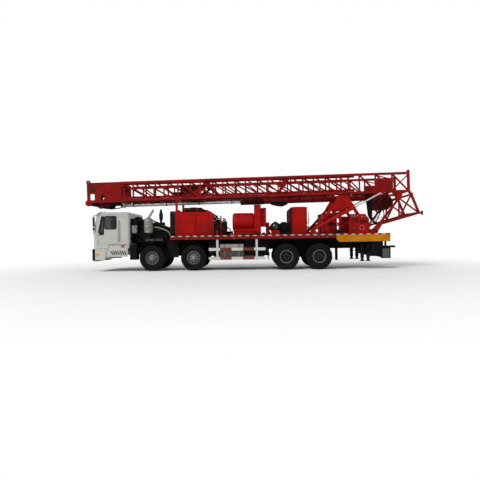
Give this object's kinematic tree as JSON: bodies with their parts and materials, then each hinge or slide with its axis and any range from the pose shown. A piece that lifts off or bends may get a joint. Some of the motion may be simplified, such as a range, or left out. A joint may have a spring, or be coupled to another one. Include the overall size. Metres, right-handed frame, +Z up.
{
  "type": "truck mounted workover rig",
  "caption": "Truck mounted workover rig with a lowered telescoping lattice mast over the deck, winch and engine housings, raising cylinders, rear jacks and steered front axles.",
  "frame": {"origin": "on the ground, under the middle of the rig's box", "axes": "+X to the rear of the truck along the lowered mast, -Y to the left side, +Z up"},
  "size_m": [14.6205, 2.5, 4.2231],
  "materials": {
    "tyre": "worn matt tyre rubber",
    "rim_grey": "grey satin paint",
    "rim_dark": "dark grey paint, dusty",
    "chassis_black": "black satin chassis paint",
    "cab_white": "off-white gloss paint",
    "window": "dark tinted glass",
    "interior": "grey plastic and cloth",
    "machine_dark": "dark painted castings",
    "steel_grey": "grey heat shield and tank paint",
    "guard_white": "white and red guard rails",
    "deck_red": "dark red paint",
    "rig_red": "red gloss paint",
    "skirt_yellow": "yellow paint",
    "board_red": "dark red paint",
    "chrome_rod": "ground chrome"
  },
  "bodies": {
    "root": {"chassis_frame": "chassis_black", "suspension": "chassis_black", "axles": "chassis_black", "cab_shell": "cab_white", "cab_glass": "window", "cab_interior": "interior", "lower_panels": "cab_white", "engine": "machine_dark", "exhaust": "steel_grey", "mudguards": "chassis_black", "side_tanks": "steel_grey", "side_guards": "guard_white", "deck": "deck_red", "deck_skirts": "skirt_yellow", "hood": "rig_red", "cooling_pack": "machine_dark", "mast_rests": "rig_red", "drive_units": "machine_dark", "drum_cover": "rig_red", "chain_cases": "rig_red", "winch_housing": "rig_red", "support_left": "rig_red", "support_right": "rig_red", "control_cabinets": "rig_red"},
    "knuckle_1_left": {"knuckle_1_left": "chassis_black"},
    "wheel_1_left": {"tyre_1_left": "tyre", "rim_1_left": "rim_grey"},
    "knuckle_1_right": {"knuckle_1_right": "chassis_black"},
    "wheel_1_right": {"tyre_1_right": "tyre", "rim_1_right": "rim_grey"},
    "knuckle_2_left": {"knuckle_2_left": "chassis_black"},
    "wheel_2_left": {"tyre_2_left": "tyre", "rim_2_left": "rim_grey"},
    "knuckle_2_right": {"knuckle_2_right": "chassis_black"},
    "wheel_2_right": {"tyre_2_right": "tyre", "rim_2_right": "rim_grey"},
    "wheel_3_left": {"tyres_3_left": "tyre", "rims_3_left": "rim_dark"},
    "wheel_3_right": {"tyres_3_right": "tyre", "rims_3_right": "rim_dark"},
    "wheel_4_left": {"tyres_4_left": "tyre", "rims_4_left": "rim_dark"},
    "wheel_4_right": {"tyres_4_right": "tyre", "rims_4_right": "rim_dark"},
    "door_left": {"door_left": "cab_white"},
    "door_right": {"door_right": "cab_white"},
    "mast": {"mast_left": "rig_red", "mast_right": "rig_red", "mast_back": "rig_red", "tele_barrel": "rig_red"},
    "upper_mast": {"upper_left": "rig_red", "upper_right": "rig_red", "upper_back": "rig_red", "crown_block": "rig_red", "racking_board": "board_red", "tele_rod": "chrome_rod"},
    "raise_barrels": {"raise_barrels": "rig_red"},
    "raise_rods": {"raise_rods": "chrome_rod"},
    "jacks_left": {"jacks_left": "chassis_black"},
    "jacks_right": {"jacks_right": "chassis_black"}
  },
  "joints": [
    {"name": "steer_1_left", "type": "hinge", "parent": "root", "child": "knuckle_1_left", "pos_m": [-4.4, -0.885, 0.5625], "axis": [0, 0, 1], "range_deg": [-35, 35]},
    {"name": "spin_1_left", "type": "hinge", "parent": "knuckle_1_left", "child": "wheel_1_left", "pos_m": [-4.4, -1.02, 0.5625], "axis": [0, 1, 0], "continuous": true},
    {"name": "steer_1_right", "type": "hinge", "parent": "root", "child": "knuckle_1_right", "pos_m": [-4.4, 0.885, 0.5625], "axis": [0, 0, 1], "range_deg": [-35, 35]},
    {"name": "spin_1_right", "type": "hinge", "parent": "knuckle_1_right", "child": "wheel_1_right", "pos_m": [-4.4, 1.02, 0.5625], "axis": [0, 1, 0], "continuous": true},
    {"name": "steer_2_left", "type": "hinge", "parent": "root", "child": "knuckle_2_left", "pos_m": [-2.6, -0.885, 0.5625], "axis": [0, 0, 1], "range_deg": [-26, 26]},
    {"name": "spin_2_left", "type": "hinge", "parent": "knuckle_2_left", "child": "wheel_2_left", "pos_m": [-2.6, -1.02, 0.5625], "axis": [0, 1, 0], "continuous": true},
    {"name": "steer_2_right", "type": "hinge", "parent": "root", "child": "knuckle_2_right", "pos_m": [-2.6, 0.885, 0.5625], "axis": [0, 0, 1], "range_deg": [-26, 26]},
    {"name": "spin_2_right", "type": "hinge", "parent": "knuckle_2_right", "child": "wheel_2_right", "pos_m": [-2.6, 1.02, 0.5625], "axis": [0, 1, 0], "continuous": true},
    {"name": "spin_3_left", "type": "hinge", "parent": "root", "child": "wheel_3_left", "pos_m": [1.4, -0.93, 0.5625], "axis": [0, 1, 0], "continuous": true},
    {"name": "spin_3_right", "type": "hinge", "parent": "root", "child": "wheel_3_right", "pos_m": [1.4, 0.93, 0.5625], "axis": [0, 1, 0], "continuous": true},
    {"name": "spin_4_left", "type": "hinge", "parent": "root", "child": "wheel_4_left", "pos_m": [2.8, -0.93, 0.5625], "axis": [0, 1, 0], "continuous": true},
    {"name": "spin_4_right", "type": "hinge", "parent": "root", "child": "wheel_4_right", "pos_m": [2.8, 0.93, 0.5625], "axis": [0, 1, 0], "continuous": true},
    {"name": "door_left_hinge", "type": "hinge", "parent": "root", "child": "door_left", "pos_m": [-6.743, -1.237, 1.5], "axis": [0, 0, -1], "range_deg": [0, 70]},
    {"name": "door_right_hinge", "type": "hinge", "parent": "root", "child": "door_right", "pos_m": [-6.743, 1.237, 1.5], "axis": [0, 0, 1], "range_deg": [0, 70]},
    {"name": "mast_raise", "type": "hinge", "parent": "root", "child": "mast", "pos_m": [5.43, 0, 1.9], "axis": [0, 1, 0], "range_deg": [0, 94]},
    {"name": "mast_extend", "type": "slide", "parent": "mast", "child": "upper_mast", "axis": [-0.9998, 0, -0.0175], "range_m": [0, 4.8]},
    {"name": "cylinder_swing", "type": "hinge", "parent": "root", "child": "raise_barrels", "pos_m": [2.55, 0, 1.7], "axis": [0, 1, 0], "range_deg": [0, 28.48]},
    {"name": "cylinder_extend", "type": "slide", "parent": "raise_barrels", "child": "raise_rods", "axis": [0.8843, 0, 0.4669], "range_m": [0, 0.8404]},
    {"name": "jacks_left_lower", "type": "slide", "parent": "root", "child": "jacks_left", "axis": [0, 0, -1], "range_m": [0, 0.32]},
    {"name": "jacks_right_lower", "type": "slide", "parent": "root", "child": "jacks_right", "axis": [0, 0, -1], "range_m": [0, 0.32]}
  ],
  "couplings": [
    {"joint": "steer_1_right", "follows": "steer_1_left", "ratio": 1},
    {"joint": "steer_2_left", "follows": "steer_1_left", "ratio": 0.72},
    {"joint": "steer_2_right", "follows": "steer_1_left", "ratio": 0.72},
    {"joint": "cylinder_swing", "follows": "mast_raise", "ratio": 0.30289},
    {"joint": "cylinder_extend", "follows": "mast_raise", "m_per_rad": 0.51194}
  ]
}
